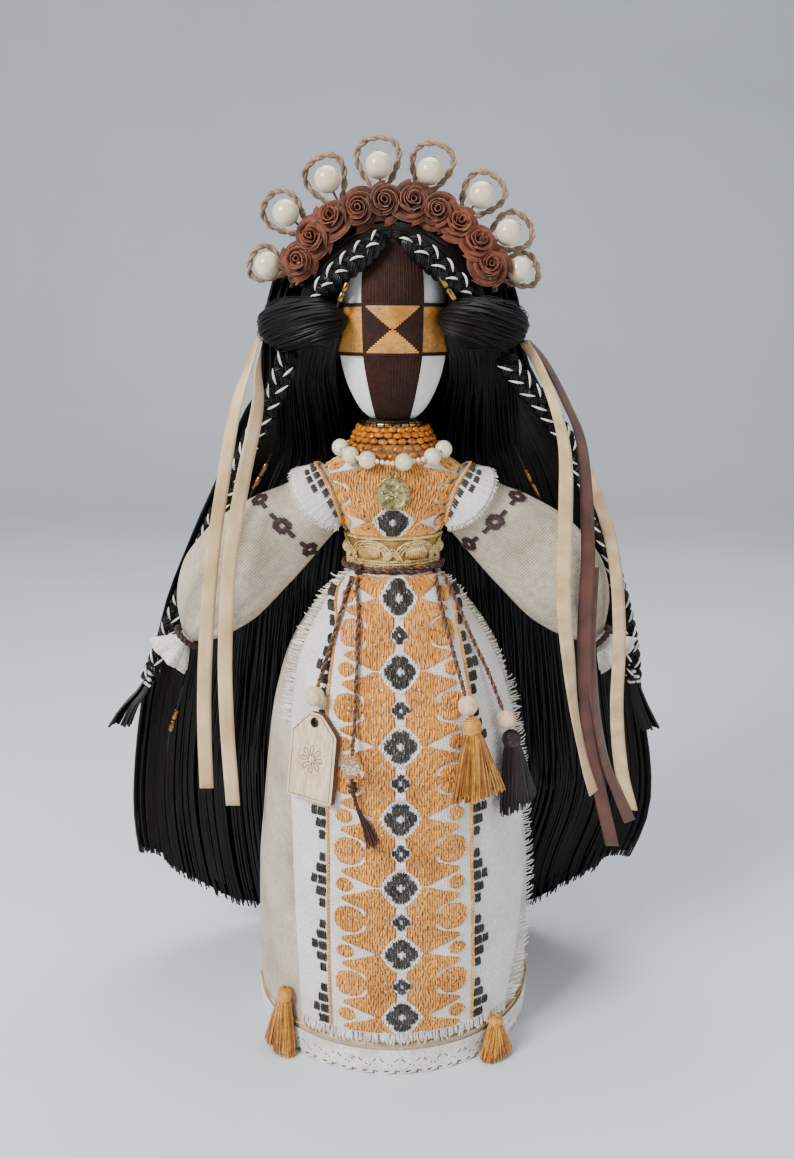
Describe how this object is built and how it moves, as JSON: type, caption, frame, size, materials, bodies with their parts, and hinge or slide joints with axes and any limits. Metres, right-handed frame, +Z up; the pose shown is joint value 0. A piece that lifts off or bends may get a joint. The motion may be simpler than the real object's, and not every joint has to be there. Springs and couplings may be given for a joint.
{
  "type": "thread-wound cloth doll",
  "caption": "Cloth doll with a thread-wound cross face, long yarn hair, a twine-loop and paper-rose crown, linen dress, woven apron, corded belt, tassels and satin ribbons",
  "frame": {"origin": "middle of the underside of the base, on the floor", "axes": "+Z up along the body, +X to the doll's left hand, which is the viewer's right, -Y out of the doll's face"},
  "size_m": [0.2547, 0.139, 0.3786],
  "materials": {
    "natural_linen": "undyed linen in a plain weave with slubs",
    "white_cotton": "white cotton cloth, crochet lace and thread winding",
    "gold_woven_cloth": "hand-woven cloth with gold and dark geometric embroidery",
    "gold_thread": "golden yellow thread with a soft sheen",
    "brown_thread": "dark brown twisted thread",
    "black_yarn": "glossy black acrylic yarn",
    "jute_twine": "natural jute twine",
    "brown_paper": "reddish brown crepe paper petals",
    "ivory_bead": "glossy ivory",
    "pale_wood": "pale unvarnished wood",
    "amber_glass": "amber glass chips on thread",
    "crystal_bead": "clear faceted glass",
    "aged_brass": "aged matt brass",
    "cream_satin": "cream satin ribbon",
    "brown_satin": "dark brown satin ribbon",
    "base_board": "plain board"
  },
  "bodies": {
    "doll": {"base_disc": "base_board", "body_roll": "natural_linen", "skirt": "natural_linen", "hem_lace": "white_cotton", "apron": "gold_woven_cloth", "bodice": "gold_woven_cloth", "left_shoulder_wing": "white_cotton", "right_shoulder_wing": "white_cotton", "waist_braid": "gold_woven_cloth", "belt_cord": "brown_thread", "neck_winding": "brown_thread", "choker": "aged_brass", "amber_necklace": "amber_glass", "ivory_necklace": "ivory_bead", "head": "white_cotton", "face_band_brown": "brown_thread", "face_band_gold": "gold_thread", "hair_cap": "black_yarn", "hair_curtain": "black_yarn", "left_temple_roll": "black_yarn", "right_temple_roll": "black_yarn", "left_front_braid": "black_yarn", "right_front_braid": "black_yarn", "left_side_braid": "black_yarn", "right_side_braid": "black_yarn", "left_cream_ribbon": "cream_satin", "right_cream_ribbon": "cream_satin", "right_brown_ribbon": "brown_satin"},
    "left_arm": {"left_sleeve": "natural_linen", "left_wrist_tie": "brown_thread", "left_cuff": "white_cotton"},
    "right_arm": {"right_sleeve": "natural_linen", "right_wrist_tie": "brown_thread", "right_cuff": "white_cotton"},
    "crown": {"crown_band": "jute_twine", "jute_loops": "jute_twine", "rose_garland": "brown_paper", "crown_bead_1": "ivory_bead", "crown_bead_2": "ivory_bead", "crown_bead_3": "ivory_bead", "crown_bead_4": "ivory_bead", "crown_bead_5": "ivory_bead", "crown_bead_6": "ivory_bead", "crown_bead_7": "ivory_bead", "crown_bead_8": "ivory_bead"},
    "tag_hanging": {"tag_cord": "brown_thread", "tag_bead": "pale_wood", "tag": "pale_wood"},
    "crystal_hanging": {"crystal_cord": "brown_thread", "crystal_bead": "crystal_bead", "cord_knot": "brown_thread"},
    "gold_tassel_hanging": {"gold_tassel_cord": "brown_thread", "gold_tassel_bead": "pale_wood", "gold_tassel": "gold_thread"},
    "dark_tassel_hanging": {"dark_tassel_cord": "brown_thread", "dark_tassel_bead": "pale_wood", "dark_tassel": "brown_thread"},
    "coin": {"coin_pendant": "aged_brass"},
    "left_hem_hanging": {"left_hem_tassel": "gold_thread"},
    "right_hem_hanging": {"right_hem_tassel": "gold_thread"}
  },
  "joints": [
    {"name": "left_shoulder", "type": "hinge", "parent": "doll", "child": "left_arm", "pos_m": [-0.028, 0, 0.2345], "axis": [0, -1, 0], "range_deg": [-3, 4]},
    {"name": "right_shoulder", "type": "hinge", "parent": "doll", "child": "right_arm", "pos_m": [0.028, 0, 0.2345], "axis": [0, 1, 0], "range_deg": [-3, 4]},
    {"name": "crown_lift", "type": "slide", "parent": "doll", "child": "crown", "axis": [0, 0, 1], "range_m": [0, 0.08]},
    {"name": "tag_swing", "type": "hinge", "parent": "doll", "child": "tag_hanging", "pos_m": [-0.01705, -0.01675, 0.20338], "axis": [-0.8281, 0.5606, 0], "range_deg": [0, 40]},
    {"name": "crystal_swing", "type": "hinge", "parent": "doll", "child": "crystal_hanging", "pos_m": [-0.01425, -0.01926, 0.20346], "axis": [-0.9685, 0.2492, 0], "range_deg": [0, 40]},
    {"name": "gold_tassel_swing", "type": "hinge", "parent": "doll", "child": "gold_tassel_hanging", "pos_m": [0.0179, -0.01584, 0.20338], "axis": [-0.838, -0.5456, 0], "range_deg": [0, 40]},
    {"name": "dark_tassel_swing", "type": "hinge", "parent": "doll", "child": "dark_tassel_hanging", "pos_m": [0.02105, -0.01143, 0.20346], "axis": [-0.579, -0.8153, 0], "range_deg": [0, 40]},
    {"name": "coin_swing", "type": "hinge", "parent": "doll", "child": "coin", "pos_m": [0, -0.01963, 0.24718], "axis": [-1, 0, 0], "range_deg": [0, 45]},
    {"name": "left_hem_tassel_swing", "type": "hinge", "parent": "doll", "child": "left_hem_hanging", "pos_m": [-0.04564, -0.04644, 0.03151], "axis": [-0.6853, 0.7282, 0], "range_deg": [0, 40]},
    {"name": "right_hem_tassel_swing", "type": "hinge", "parent": "doll", "child": "right_hem_hanging", "pos_m": [0.04354, -0.04836, 0.01896], "axis": [-0.7431, -0.6691, 0], "range_deg": [0, 40]}
  ]
}
